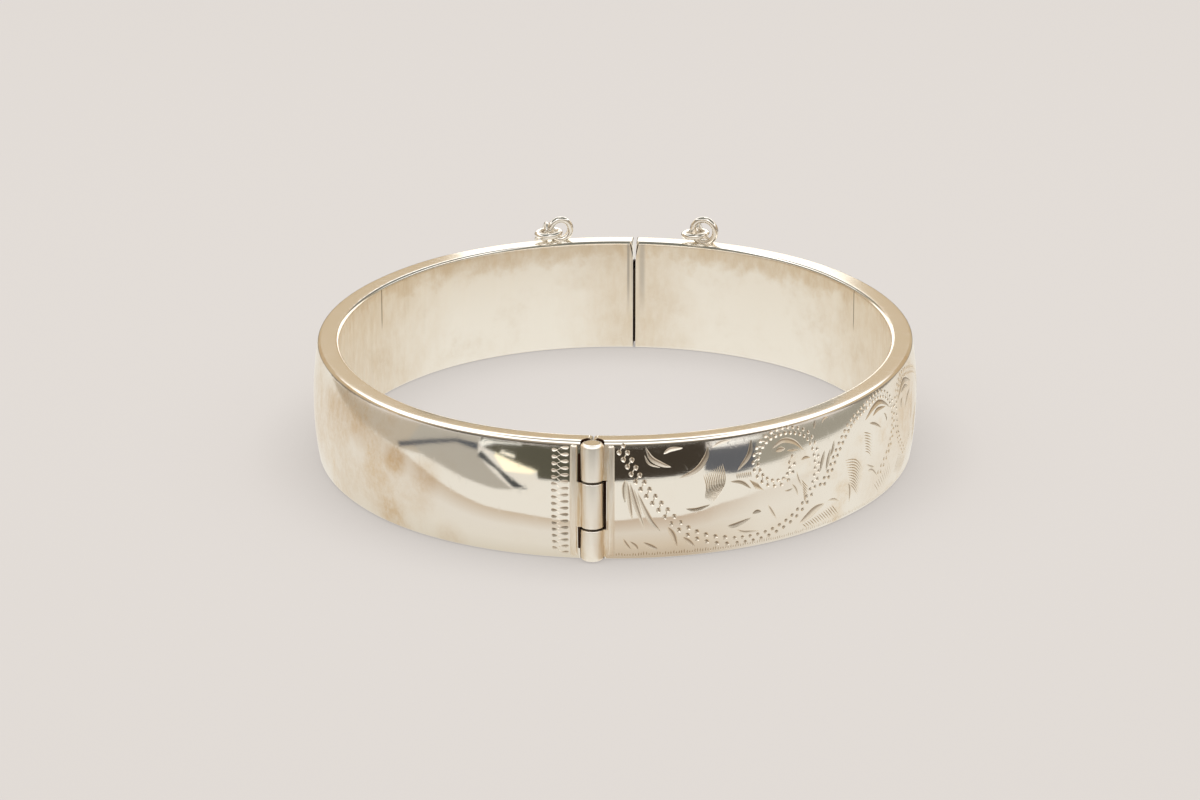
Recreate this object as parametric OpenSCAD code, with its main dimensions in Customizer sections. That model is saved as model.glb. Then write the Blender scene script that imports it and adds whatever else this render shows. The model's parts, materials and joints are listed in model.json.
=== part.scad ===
// Oval hinged bangle of silver: a plain half and an engraved half, each a closed hollow
// tube with a flat lining and a domed face, a three-knuckle hinge, a hidden snap tongue
// and a safety chain. Millimetres. The bangle lies on its lower rim at z = 0, the origin
// is the centre of the wrist opening, the clasp is at +Y and the hinge at -Y.

/* [Oval] */
// Inside length of the oval, from the hinge to the clasp
inner_length = 59.9; // [56:0.1:66]
// Inside width of the oval
inner_width = 53; // [48:0.1:56]

/* [Band] */
// Height of the band
band_h = 11.4; // [9:0.1:16]
// Thickness of the band at its rims
rim_t = 2.1; // [1.9:0.05:3]
// How far the face domes out past the rims
dome_rise = 0.5; // [0.3:0.05:1]
// Sheet thickness of the hollow halves
wall = 0.45; // [0.35:0.05:0.5]
// Rounding of the outer corners
corner_r = 0.3; // [0.15:0.05:0.5]
// Thickness of the plates that close the ends
end_cap = 0.5; // [0.4:0.05:0.8]

/* [Clasp] */
// Slit between the two halves
seam_gap = 0.2; // [0.1:0.05:0.4]
// Width of the vee at the top of the slit
vee_w = 0.62; // [0.45:0.01:1]
// Depth of the vee
vee_depth = 2.3; // [1:0.1:3]
// Thickness of the tongue
tongue_t = 0.7; // [0.4:0.05:0.8]
// Height of the tongue
tongue_h = 5; // [3:0.1:6]
// Reach of the tongue into the engraved half
tongue_reach = 4.4; // [3:0.1:6]
// Clearance of the tongue in its slot
tongue_slack = 0.15; // [0.1:0.01:0.2]
// Clearance of the tongue's root in the plain half
root_slack = 0.04; // [0.03:0.01:0.1]
// Thickness and overhang of the tongue's root plate
root_plate = 0.4; // [0.3:0.05:0.6]

/* [Hinge] */
// Diameter of the barrel
barrel_d = 2.26; // [1.8:0.02:2.4]
// How far the pin's axis lies outside the rim
axis_out = 0.15; // [0:0.05:0.4]
// Diameter of the pin
pin_d = 0.9; // [0.7:0.05:1]
// Diameter of the pin's peened ends
peen_d = 1.4; // [1.2:0.05:1.6]
// Height of the pin's peened ends
peen_h = 0.25; // [0.15:0.05:0.4]
// Radial clearance of the pin
pin_slack = 0.03; // [0.02:0.01:0.06]
// Height of the top knuckle
top_knuckle = 3.6; // [2.5:0.1:4.5]
// Height of the bottom knuckle
bottom_knuckle = 3.1; // [2.5:0.1:4.5]
// Gap between two knuckles
knuckle_gap = 0.14; // [0.06:0.02:0.2]
// Gap round a knuckle in the other half
barrel_gap = 0.16; // [0.1:0.02:0.25]
// How far the barrel's ends lie inside the rims
barrel_inset = 0.1; // [0.05:0.05:0.3]
// Width of the plain strip beside the barrel
strip_w = 0.72; // [0.5:0.02:1]
// How far the strip stands proud of the dome
strip_rise = 0.1; // [0.05:0.01:0.2]
// Gap between the halves behind the barrel
back_gap = 0.1; // [0.06:0.02:0.2]
// Width of the nick between the rims at the hinge
nick_w = 1; // [0.6:0.1:1.4]
// Depth of that nick
nick_depth = 0.5; // [0.2:0.1:0.8]

/* [Eyelets and jump rings] */
// Distance of the left eyelet from the slit
left_eyelet = 7.6; // [6:0.1:10]
// Distance of the right eyelet from the slit
right_eyelet = 7.15; // [6:0.1:10]
// Outer diameter of an eyelet
eyelet_d = 2.8; // [2.6:0.05:3.2]
// Wire of an eyelet
eyelet_wire = 0.62; // [0.5:0.02:0.64]
// Height of an eyelet's centre above the rim
eyelet_lift = 0.95; // [0.9:0.05:1.1]
// Outer diameter of a jump ring
jump_d = 2.9; // [2.8:0.05:3.1]
// Wire of a jump ring
jump_wire = 0.58; // [0.5:0.02:0.6]

/* [Safety chain] */
// Outer length of a link
link_l = 2.7; // [2.6:0.05:3]
// Outer width of a link
link_w = 1.8; // [1.7:0.02:1.9]
// Wire of a link
link_wire = 0.4; // [0.36:0.02:0.42]
// Play between two links
link_play = 0.15; // [0.11:0.01:0.25]
// Mouth of the open link in the middle
mouth = 0.62; // [0.55:0.01:0.8]

/* [Hidden] */
$fn = 96;
far = 100;

// Four-centre oval: the end arcs' centres lie on the long axis, the side arcs' on the
// short one, and the arcs meet on a line that rises 3 for every 4 across
centre_apart = (inner_length - inner_width) / 2 / (4 / 5 + 3 / 5 - 1);
end_centre = centre_apart * 3 / 5;
side_centre = centre_apart * 4 / 5;
joint_turn = atan2(3, 4);
end_r = inner_length / 2 - end_centre;
side_r = inner_width / 2 + side_centre;

// The face is one arc from rim to rim
mid_h = band_h / 2;
dome_r = (mid_h * mid_h + dome_rise * dome_rise) / (2 * dome_rise);
dome_centre = rim_t + dome_rise - dome_r;
corner_x = dome_centre + sqrt(pow(dome_r - corner_r, 2) - pow(mid_h - corner_r, 2));

// Hinge
axis_y = -(inner_length / 2 + rim_t + axis_out);
pocket_r = barrel_d / 2 + barrel_gap;
strip_end = pocket_r + strip_w;
barrel_lo = barrel_inset;
barrel_hi = band_h - barrel_inset;
low_split = barrel_lo + bottom_knuckle;
high_split = barrel_hi - top_knuckle;

// Clasp: the tongue bends round the hinge's axis, so it slides out as the bangle opens
clasp_y = inner_length / 2;
tongue_r = clasp_y + wall + (rim_t + dome_rise / 2 - 2 * wall) / 2 - axis_y - 0.06;

// Eyelets sit on the middle of the top rim
rim_mid_r = end_r + rim_t / 2;
face_r = end_r + rim_t + dome_rise;
left_turn = asin(left_eyelet / rim_mid_r);
right_turn = -asin(right_eyelet / rim_mid_r);
eyelet_r = (eyelet_d - eyelet_wire) / 2;
eyelet_z = band_h + eyelet_lift;
jump_r = (jump_d - jump_wire) / 2;

// A jump ring lies to the left of its eyelet and reaches past the rim's outer corner
jump_back = 0.4;
jump_side = sqrt(jump_r * jump_r - jump_back * jump_back);
jump_z = eyelet_z - eyelet_r + eyelet_wire / 2 + jump_wire / 2 + 0.32;
jump_droop = 4;
jump_rear = rim_mid_r + jump_back + jump_r;

// Route of the chain about the centre of the back arc. Each row holds the share of the
// eyelet's angle, the distance past the dome and the height of one point on the route.
link_rest = (link_w / 2 - link_wire / 2) * sin(45) + link_wire / 2 + 0.02;
route_rows = [
    // angle, past the dome, height
    [1, 0.94, 11.2],
    [1, 1.75, 9.6],
    [1, 2, 7.6],
    [1, 2, 5.2],
    [1, 2.5, 2.7],
    [1, 3.95, 1.25],
    [0.99, 5.9, link_rest],
    [0.84, 7.7, link_rest],
    [0.5, 9, link_rest],
    [0, 9.5, link_rest]];
rows_n = len(route_rows);
first_drop = 45;

function polar(angle, r, z) = [-r * sin(angle), end_centre + r * cos(angle), z];
function jump_turn(turn) = turn + atan2(jump_side, rim_mid_r + jump_back);
function jump_hook(turn) = polar(jump_turn(turn), jump_rear, jump_z);
function row_point(row, turn) = polar(row[0] * jump_turn(turn), face_r + row[1], row[2]);
function hook_step(turn, length) =
    let (out = polar(jump_turn(turn), 1, 0) - polar(0, 0, 0))
    length * (cos(first_drop) * out - sin(first_drop) * [0, 0, 1]);

link_r = (link_w - link_wire) / 2;
link_reach = (link_l - link_wire) / 2;
most_pitch = 2 * link_reach - link_wire - link_play;
hook_offset = link_reach - link_wire / 2 - jump_wire / 2 - 0.12 - most_pitch / 2;
function first_joint(turn) = jump_hook(turn) + hook_step(turn, hook_offset);

route = concat(
    [first_joint(left_turn) + hook_step(left_turn, -most_pitch), first_joint(left_turn)],
    [for (row = route_rows) row_point(row, left_turn)],
    [for (i = [rows_n - 2:-1:0]) row_point(route_rows[i], right_turn)],
    [first_joint(right_turn), first_joint(right_turn) + hook_step(right_turn, -most_pitch)]);

// A smooth curve through the route's points, then its length from the first joint
function curve(p, i, t) = 0.5 * (2 * p[i] + (p[i + 1] - p[i - 1]) * t
    + (2 * p[i - 1] - 5 * p[i] + 4 * p[i + 1] - p[i + 2]) * t * t
    + (3 * p[i] - p[i - 1] - 3 * p[i + 1] + p[i + 2]) * t * t * t);
steps = 12;
path = [for (i = [1:len(route) - 3]) for (k = [0:steps - 1]) curve(route, i, k / steps),
        route[len(route) - 2]];
function running(p, i = 1, total = 0, out = [0]) = i >= len(p) ? out
    : let (next = total + norm(p[i] - p[i - 1])) running(p, i + 1, next, concat(out, next));
along = running(path);
route_length = along[len(along) - 1];
tables = [for (axis = [0:2]) [for (i = [0:len(path) - 1]) [along[i], path[i][axis]]]];
function at(s) = [for (axis = [0:2]) lookup(s, tables[axis])];

// The number of links is odd, so the first and the last hang in the same way
links = 2 * ceil((route_length / most_pitch - 1) / 2) + 1;
pitch = route_length / links;
middle_link = (links - 1) / 2;
drop_length = 17;
function heading(s) = lookup(s, [[drop_length, 90], [route_length - drop_length, -90]]);
function tilt(s) = lookup(s, [[0, 0], [drop_length / 2, 45],
    [route_length - drop_length / 2, 45], [route_length, 0]]);
function unit(v) = v / norm(v);

// Section of a half, drawn with the lining at x = 0 and the face towards +x
module section() {
    step = 30;
    round = [for (a = [90:-step:step])
        [corner_x + corner_r * cos(a), band_h - corner_r + corner_r * sin(a)]];
    past = round[len(round) - 1] + 2 * dome_rise * [sin(step / 2), -cos(step / 2)];
    upper = concat([[0, band_h]], round, [past, [far, past[1]]]);
    lower = [for (i = [len(upper) - 1:-1:0]) [upper[i][0], band_h - upper[i][1]]];
    intersection() {
        polygon(concat(upper, lower));
        translate([dome_centre, mid_h]) circle(dome_r, $fn = 360);
    }
}

// The hollow inside that section
module hollow_section() {
    intersection() {
        translate([wall, wall]) square([far, band_h - 2 * wall]);
        translate([dome_centre, mid_h]) circle(dome_r - wall, $fn = 360);
    }
}

// The strip beside the barrel stands a little proud of the dome
module strip_section() {
    intersection() {
        translate([rim_t / 2, corner_r]) square([far, band_h - 2 * corner_r]);
        translate([dome_centre, mid_h]) circle(dome_r + strip_rise, $fn = 360);
    }
}

// All that lies behind the line on which a side arc and the back arc meet
module behind_joint() {
    translate([-side_centre, 0, -1]) rotate([0, 0, joint_turn]) cube([far, far, band_h + 2]);
}

// Carries a section round the right half of the oval
module half_sweep() {
    for (end = [0, 1]) mirror([0, end, 0]) intersection() {
        translate([0, end_centre, 0]) rotate_extrude(angle = 90) translate([end_r, 0]) children();
        behind_joint();
    }
    difference() {
        translate([-side_centre, 0, 0]) rotate([0, 0, -90])
            rotate_extrude(angle = 180) translate([side_r, 0]) children();
        for (end = [0, 1]) mirror([0, end, 0]) behind_joint();
    }
}

// A block from x = 0 to x = width, across the band at the clasp (end = 1) or hinge (end = -1)
module end_block(end, width) {
    translate([-1, end > 0 ? 0 : -far, -1]) cube([width + 1, far, band_h + 2]);
}

// The hollow tube of a right half, with its ends closed
module closed_tube() {
    difference() {
        half_sweep() section();
        difference() {
            half_sweep() hollow_section();
            end_block(1, seam_gap / 2 + end_cap);
            end_block(-1, strip_end + end_cap);
        }
    }
    start = -90 + asin(pocket_r / (end_r + rim_t));
    width = asin(strip_end / (end_r + rim_t)) - asin(pocket_r / (end_r + rim_t));
    translate([0, -end_centre]) rotate([0, 0, start])
        rotate_extrude(angle = width) translate([end_r, 0]) strip_section();
}

// The slit with its vee at the clasp, cut from x = 0 outwards
module clasp_cut() {
    slit = seam_gap / 2;
    translate([0, far, 0]) rotate([90, 0, 0]) linear_extrude(far)
        polygon([[-1, -1], [slit, -1], [slit, band_h - vee_depth], [vee_w / 2, band_h - corner_r],
                 [vee_w / 2 + corner_r, band_h + 0.01], [vee_w / 2 + corner_r, far], [-1, far]]);
}

// The gap behind the barrel, with its nick in the top rim
module back_cut() {
    gap = back_gap / 2;
    rotate([90, 0, 0]) linear_extrude(far)
        polygon([[-1, -1], [gap, -1], [gap, band_h - nick_depth], [nick_w / 2, band_h + 0.01],
                 [nick_w / 2, far], [-1, far]]);
}

// Room for the other half's knuckles between two heights
module knuckle_room(lo, hi) {
    translate([0, axis_y, lo]) cylinder(r = pocket_r, h = hi - lo);
    translate([-1, axis_y - pocket_r, lo]) cube([1 + pocket_r, pocket_r, hi - lo]);
}

// A knuckle and the web that joins it to the half on its right
module knuckle(lo, hi) {
    translate([0, axis_y, lo]) cylinder(d = barrel_d, h = hi - lo);
    translate([back_gap / 2, axis_y - barrel_d / 4, lo]) cube([pocket_r + strip_w / 2, pocket_r, hi - lo]);
}

module pin_bore() {
    translate([0, axis_y, -1]) cylinder(d = pin_d + 2 * pin_slack, h = band_h + 2);
}

// Sockets for the pin's peened ends
module peen_sockets() {
    for (z = [barrel_lo - 1, barrel_hi - peen_h - pin_slack])
        translate([0, axis_y, z]) cylinder(d = peen_d + 2 * pin_slack, h = 1 + peen_h + pin_slack);
}

// A ring of round wire standing across the top rim
module eyelet(turn) {
    translate(polar(turn, rim_mid_r, eyelet_z)) rotate([0, 0, turn]) rotate([90, 0, 0])
        rotate_extrude() translate([eyelet_r, 0]) circle(d = eyelet_wire, $fn = 32);
}

module jump_ring(turn) {
    lean = atan2(jump_back, jump_side);
    translate(polar(jump_turn(turn), rim_mid_r + jump_back, jump_z)) rotate([0, 0, turn])
        rotate([0, -jump_droop, 0]) rotate([0, 0, lean])
            rotate_extrude() translate([jump_r, 0]) circle(d = jump_wire, $fn = 32);
}

// The tongue's blade, its root plate or a slot for the blade, bent round the hinge's axis
module tongue_arc(from, to, thick, high) {
    turn = 180 / PI / tongue_r;
    translate([0, axis_y, mid_h]) rotate([0, 0, 90 - to * turn])
        rotate_extrude(angle = (to - from) * turn) translate([tongue_r, 0])
            square([thick, high], center = true);
}

// One link about the origin: long along x, wide along y
module link(open_end = false) {
    side = link_reach - link_r;
    difference() {
        union() {
            for (turn = [0, 180]) rotate([0, 0, turn]) {
                translate([side, 0, 0]) rotate([0, 0, -90]) rotate_extrude(angle = 180)
                    translate([link_r, 0]) circle(d = link_wire, $fn = 24);
                translate([-side, link_r, 0]) rotate([0, 90, 0]) cylinder(d = link_wire, h = 2 * side, $fn = 24);
            }
        }
        if (open_end) translate([side, -mouth / 2, -link_wire]) cube([link_w, mouth, 2 * link_wire]);
    }
}

// The links from one number to another, each turned a quarter from the last
module chain(from, to) {
    for (k = [from:to]) {
        a = at(k * pitch);
        b = at((k + 1) * pitch);
        s = (k + 0.5) * pitch;
        ahead = unit(b - a);
        level = [sin(heading(s)), -cos(heading(s)), 0];
        across = unit(level - (level * ahead) * ahead);
        down = cross(ahead, across);
        roll = 90 * (k % 2) + tilt(s);
        wide = cos(roll) * down + sin(roll) * across;
        flat = cross(ahead, wide);
        mid = (a + b) / 2;
        multmatrix([for (i = [0:2]) [ahead[i], wide[i], flat[i], mid[i]]]) link(k == middle_link);
    }
}

module plain_half() color("#d9d4cb") {
    difference() {
        union() {
            mirror([1, 0, 0]) difference() {
                closed_tube();
                clasp_cut();
                intersection() {
                    back_cut();
                    end_block(-1, far);
                }
                knuckle_room(-1, low_split + knuckle_gap / 2);
                knuckle_room(low_split - knuckle_gap, high_split + knuckle_gap);
                knuckle_room(high_split - knuckle_gap / 2, band_h + 1);
            }
            mirror([1, 0, 0]) knuckle(low_split + knuckle_gap / 2, high_split - knuckle_gap / 2);
            eyelet(left_turn);
        }
        pin_bore();
        tongue_arc(-end_cap - seam_gap, 0, tongue_t + 2 * root_slack, tongue_h + 2 * root_slack);
    }
}

module engraved_half() color("#cfc9bf") {
    difference() {
        union() {
            difference() {
                closed_tube();
                clasp_cut();
                back_cut();
                knuckle_room(-1, band_h + 1);
            }
            knuckle(barrel_lo, low_split - knuckle_gap / 2);
            knuckle(high_split + knuckle_gap / 2, barrel_hi);
            eyelet(right_turn);
        }
        pin_bore();
        peen_sockets();
        tongue_arc(0, tongue_reach + 1, tongue_t + 2 * tongue_slack, tongue_h + 2 * tongue_slack);
    }
}

module hinge_pin() color("#b9b4ab") {
    translate([0, axis_y, barrel_lo]) cylinder(d = pin_d, h = barrel_hi - barrel_lo);
    for (z = [barrel_lo, barrel_hi - peen_h])
        translate([0, axis_y, z]) cylinder(d = peen_d, h = peen_h);
}

module clasp_tongue() color("#c4bfb4") {
    root = -seam_gap / 2 - end_cap - root_slack;
    tongue_arc(root - root_plate / 2, tongue_reach, tongue_t, tongue_h);
    tongue_arc(root - root_plate, root, tongue_t + root_plate, tongue_h + 2 * root_plate);
}

module left_jump_ring() color("#cdc8be") jump_ring(left_turn);

module right_jump_ring() color("#cdc8be") jump_ring(right_turn);

module chain_left() color("#bfbab0") chain(0, middle_link);

module chain_right() color("#bfbab0") chain(middle_link + 1, links - 1);

plain_half();
engraved_half();
hinge_pin();
clasp_tongue();
left_jump_ring();
right_jump_ring();
chain_left();
chain_right();
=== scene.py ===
import json
import math
import random

import bmesh
import bpy
from mathutils import Matrix, Vector
from mathutils.bvhtree import BVHTree
from mathutils.interpolate import poly_3d_calc


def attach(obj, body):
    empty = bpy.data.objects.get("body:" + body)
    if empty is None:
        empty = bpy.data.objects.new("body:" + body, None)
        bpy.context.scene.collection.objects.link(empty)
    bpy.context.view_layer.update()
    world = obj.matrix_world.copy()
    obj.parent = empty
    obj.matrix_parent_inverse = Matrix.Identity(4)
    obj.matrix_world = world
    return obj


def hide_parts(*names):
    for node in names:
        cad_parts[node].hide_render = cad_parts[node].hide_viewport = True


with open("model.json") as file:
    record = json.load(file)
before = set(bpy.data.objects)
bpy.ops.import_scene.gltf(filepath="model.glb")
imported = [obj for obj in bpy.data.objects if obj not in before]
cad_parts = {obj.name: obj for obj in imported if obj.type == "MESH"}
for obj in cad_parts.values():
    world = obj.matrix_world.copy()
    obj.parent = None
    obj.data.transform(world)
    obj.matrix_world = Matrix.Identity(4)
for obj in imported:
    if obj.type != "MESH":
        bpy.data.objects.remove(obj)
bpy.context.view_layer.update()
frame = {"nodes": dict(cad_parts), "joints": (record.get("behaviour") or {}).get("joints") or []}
mm = 0.001  # the frame is in metres, and the values below are in millimetres
tiny = 1e-4  # places nearer than this are the same
bpy.ops.object.select_all(action="DESELECT")
print("Frame loaded:", ", ".join(sorted(frame["nodes"])))

oval = {
    "innerLength": 59.9,  # hinge to clasp
    "innerWidth": 53.0,
    "bandHeight": 11.4,
    "rimWidth": 2.1,
    "domeRise": 0.5,  # how far the face stands out past the rims
    "outerRound": 0.26,
    "innerRound": 0.38,
    "roundSteps": 5,
    "rimCrown": (0.07, 0.09),  # how much lower a worn rim is at its outer and inner edge
    "crownPowers": (4, 12),  # how late the wear sets in, across the rim and up to it
    "rimFacing": 0.97,  # faces that look up or down more than this are the rim
    "wallFacing": 0.5,  # and those that do less than this are the wall
    "rimSteps": 15,
    "endSteps": 50,
    "sideSteps": 92,
    "domeSteps": 24,
}
hingeSizes = {
    "axisY": frame["joints"][0]["pos_m"][1] / mm,
    "barrel": 2.14,
    "barrelSides": 64,
    "pocket": 1.3,  # half of the room in front, beside the barrel
    "seat": 1.12,  # radius of the hollow behind the barrel
    "stripWidth": 0.76,
    "stripRise": 0.13,
    "stripDepth": 1.2,  # how far it goes in behind the face
    "stripInset": 0.3,
    "stripRound": 0.3,
    "stripSharp": 40,  # degrees between faces, past which an edge is rounded
    "roundSteps": 6,
    "bendCuts": 15,
    "longEdge": 1.0,  # edges that rise more than this are cut across
    "pinBore": 0.48,
    "peenBore": 0.73,
    "peenDepth": 0.28,
    "backGap": 0.05,
    "nick": (0.5, 0.3, 0.01),  # half its width, its depth, and half of its flat bottom
    "nickRound": (0.3, 150, 90),  # radius of its lip, and the turns that it starts and ends at
    "edge": 0.08,
    "endEdge": 0.36,
    "webInset": 0.35,  # from the top and bottom of the band
    "webRise": 0.07,  # how far the web stands out past the face
    "webReach": (0.2, 1.2),  # how far it goes under the strip, and in behind the face
}
knuckles = {
    "bottom": (0.1, 3.09),
    "middle": (3.31, 7.59),
    "top": (7.81, 11.3),
}
claspSizes = {
    "slit": 0.135,  # half of the gap, as seen from inside
    "slitDepth": 1.9,
    "skinGap": {"plain_face": 0.005, "engraved_face": 0.06},  # from the middle, out at the face
    "vee": 0.19,
    "veeDepth": 2.3,
    "lip": 0.24,
    "flare": 0.5,  # how far the vee opens out towards the inside
    "flareOver": 1.5,  # height of its cone, for each of the vee's
    "foot": 0.12,
    "shadow": 0.3,  # the vee ends this far down in the dark
    "slotHigh": 5.3,
    "slotWide": 1.0,
    "slotReach": 5.4,
    "slotRadius": 63.27,
    "slotStart": 0.5,  # before the middle of the slit
}
eyelets = {  # each one's distance from the slit, its radius and its height above the rim
    "plain_face": (7.6, 1.05, 1.1),
    "engraved_face": (7.1, 1.2, 1.18),
    "wire": 0.32,
    "steps": (64, 20),
    "outward": 0.35,  # how far they stand out from the middle of the rim
}

spare = 1.0  # how far a cutting shape reaches past the middle, and past what it cuts
under, over = -1.0, 13.0  # below and above the band
front, back = (-45, -20), (20, 45)  # from inside to outside, at the hinge and at the clasp

# The oval is four arcs that meet where the line to their centres rises 3 for every 4 across
centreApart = (oval["innerLength"] - oval["innerWidth"]) / 2 / 0.4
endCentre = centreApart * 0.6
sideCentre = centreApart * 0.8
endRadius = oval["innerLength"] / 2 - endCentre
sideRadius = oval["innerWidth"] / 2 + sideCentre
jointTurn = math.atan2(3, 4)
endTurn = math.pi / 2 - jointTurn
midHeight = oval["bandHeight"] / 2
domeRadius = (midHeight ** 2 + oval["domeRise"] ** 2) / (2 * oval["domeRise"])
domeMiddle = oval["rimWidth"] + oval["domeRise"] - domeRadius
endLength = endTurn * (endRadius + oval["rimWidth"])
sideLength = 2 * jointTurn * (sideRadius + oval["rimWidth"])
faceLength = 2 * endLength + sideLength


def domeReach(z):
    return domeMiddle + math.sqrt(domeRadius ** 2 - (z - midHeight) ** 2)


def arcAt(s):  # centre, radius and turn of the right half's arc at a distance s from the hinge
    if s < endLength:
        return Vector((0, -endCentre, 0)), endRadius, s / (endRadius + oval["rimWidth"]) - math.pi / 2
    if s < endLength + sideLength:
        turn = (s - endLength) / (sideRadius + oval["rimWidth"]) - jointTurn
        return Vector((-sideCentre, 0, 0)), sideRadius, turn
    turn = (s - endLength - sideLength) / (endRadius + oval["rimWidth"]) + jointTurn
    return Vector((0, endCentre, 0)), endRadius, turn


def onFace(s, z, lift=0.0):  # a point on the right half's face, or above it by lift
    centre, radius, turn = arcAt(s)
    outward = Vector((math.cos(turn), math.sin(turn), 0))
    normal = (outward * (domeReach(z) - domeMiddle) + Vector((0, 0, z - midHeight))) / domeRadius
    return centre + outward * (radius + domeReach(z)) + Vector((0, 0, z)) + normal * lift


def useOnly(piece):
    bpy.ops.object.select_all(action="DESELECT")
    piece.select_set(True)
    bpy.context.view_layer.objects.active = piece


silverTones = {
    "polished": (0.95, 0.91, 0.84),
    "cut": (0.93, 0.86, 0.75),
    "rim": (0.94, 0.89, 0.80),
    "lining": (0.99, 0.955, 0.885),
    # gapShade is painted shade: near black with an oxide's brown, for the hinge's gaps, the slit, the slot
    # and the pin's bore
    "gapShade": (0.05, 0.024, 0.014),
    "hinge": (0.99, 0.95, 0.88),
    "wire": (0.92, 0.88, 0.82),
    "tongue": (0.52, 0.44, 0.34),
    # root is painted shade on the tongue where it stands in the slit
    "root": (0.07, 0.05, 0.035),
    "tarnish": (0.78, 0.60, 0.38),
    "shade": (0.70, 0.58, 0.43),
    "groove": (0.22, 0.14, 0.08),
    "stains": (0.66, 0.45, 0.22),
    # barrelSideShade is painted shade on the hinge barrel's sides and beside it
    "barrelSideShade": (0.72, 0.56, 0.36),
    "liningDarker": (0.72, 0.57, 0.38),
    # capSeamAndShade is the grey of the end caps' seams and of painted shade beside the slit
    "capSeamAndShade": (0.50, 0.46, 0.41),
}


# Noises of the finishes: stretch for each millimetre along x, y and z, turn, scale, detail and roughness,
# and where it starts and ends, with the amounts that it has there
patterns = {
    "patches": ((1, 1, 1), (0, 0, 0), 0.16, 5, 0.6, (0.46, 0.72)),
    "mottle": ((1, 1, 1), (0, 0, 0), 1.6, 8, 0.7, (0.35, 0.7, 0.35, 1.0)),
    "polishing": ((0.25, 0.25, 9), (0, 0, 0), 1.0, 3, 0.6, None),
    "scratches": ((0.35, 6, 0.8), (0.5, 0.3, 0.9), 1.0, 2, 0.5, (0.62, 0.7)),
    "fineBrush": ((5, 5, 0.2), (0, 0, 0), 1.0, 4, 0.6, None),
    "broadBrush": ((0.5, 0.5, 0.12), (0, 0, 0), 1.0, 4, 0.6, None),
    "speckle": ((1, 1, 1), (0, 0, 0), 1.1, 9, 0.72, (0.34, 0.66, 0.5, 1.0)),
    "streaks": ((4, 4, 0.35), (0, 0, 0), 1.0, 6, 0.65, (0.3, 0.65, 0.25, 1.0)),
    "uneven": ((1, 1, 1), (0, 0, 0), 0.35, 5, 0.6, None),
    "liningGrain": ((1.2, 1.2, 0.5), (0, 0, 0), 1.0, 7, 0.7, (0.3, 0.7, 0.6, 1.0)),
}
# How the silver wears, and where painted shade lies on the hinge barrel and on the tongue in the slit: limits
# are millimetres from the middle, then the amounts there
wearAndShade = {
    "tarnish": (12, 24),
    "rougher": (6, 22),
    # barrelSideShade: where the painted shade beside the barrel starts and ends
    "barrelSideShade": [(0.4, 0.95), (1.2, 1.5, 1.0, 0.35)],
    # root: where the painted shade on the tongue starts and ends
    "root": (0.25, 0.9, 1.0, 0.0),
    "scratchDepth": 0.6,
    "stainCore": 0.2,  # the share of a stain that has its full strength
    "wornRough": 0.15,
    "linesRough": 0.06,
    "grooveFrom": 0.35,
    "bumpHeight": 0.00002,
}
# Stains on the faces: the middle of each and its reach, and how strong it is
stains = [((-18.7, -25.2, 6.8), 2.2, 0.75), ((-15.6, -27.6, 6.2), 2.4, 0.4), ((-20.6, -23.0, 3.6), 5.0, 0.45),
          ((-16.6, -26.8, 3.8), 3.2, 0.3), ((-19.0, -24.6, 0.7), 3.0, 0.5), ((-25.0, -16.5, 8.2), 5.0, 0.5),
          ((-13.5, -29.0, 0.3), 2.5, 0.25), ((-22.5, -20.5, 8.0), 2.4, 0.35), ((-28.4, -9.0, 6.0), 8.5, 0.65),
          ((-24.2, -18.0, 3.0), 5.0, 0.35), ((28.5, -7.0, 7.0), 8.5, 0.6), ((26.5, -15.0, 2.0), 5.0, 0.25)]
# The lining is darker below its top edge, towards the sides and beside the slit. Its seams, and the soft
# lines beside the slit that are partly the end caps' seams and partly painted shade of the rounded lips
# there, have a place, a reach and a strength each, and then their heights.
lining = {
    "top": (8.4, 10.8, 0, 0.75),
    "sides": (17, 26, 0, 0.6),
    "slit": (0.5, 8.5, 0.5, 0),
    "uneven": 6,  # millimetres
    "seams": ([((-24.02, 12.6, 0), (0.05, 0.12), 0.8), ((22.7, 15.5, 0), (0.05, 0.12), 0.8)], (6.8, 8.2)),
    # capSeamsAndShade: partly the end caps' seams, partly painted shade of the rounded lips beside the slit
    "capSeamsAndShade": ([((-0.6, 29.95, 0), (0.05, 0.2), 0.9), ((-0.25, 29.95, 0), (0.05, 0.2), 0.4),
              ((0.8, 29.95, 0), (0.08, 0.45), 0.6)], (3.0, 8.0)),
}


def node(tree, kind, settings=None, **values):  # a node with its settings and the values of its sockets
    made = tree.nodes.new("ShaderNode" + kind)
    for label, value in (settings or {}).items():
        setattr(made, label, value)
    for label, value in values.items():
        made.inputs[label.replace("_", " ")].default_value = value
    return made


def mapped(tree, stretch=(1, 1, 1), turn=(0, 0, 0)):  # the place on the piece, in millimetres
    place = node(tree, "Mapping", Scale=[k / mm for k in stretch], Rotation=turn)
    tree.links.new(node(tree, "TexCoord").outputs["Object"], place.inputs["Vector"])
    return place.outputs["Vector"]


def coordinate(tree, axis):
    split = node(tree, "SeparateXYZ")
    tree.links.new(mapped(tree), split.inputs[0])
    return split.outputs[axis]


def between(tree, value, low, high, start=0.0, end=1.0):
    made = node(tree, "MapRange", {"interpolation_type": "SMOOTHSTEP"}, From_Min=low, From_Max=high,
                To_Min=start, To_Max=end)
    tree.links.new(value, made.inputs["Value"])
    return made.outputs["Result"]


def pattern(tree, name):
    stretch, turn, scale, detail, roughness, limits = patterns[name]
    made = node(tree, "TexNoise", Scale=scale, Detail=detail, Roughness=roughness)
    tree.links.new(mapped(tree, stretch, turn), made.inputs["Vector"])
    return between(tree, made.outputs["Fac"], *limits) if limits else made.outputs["Fac"]


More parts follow.
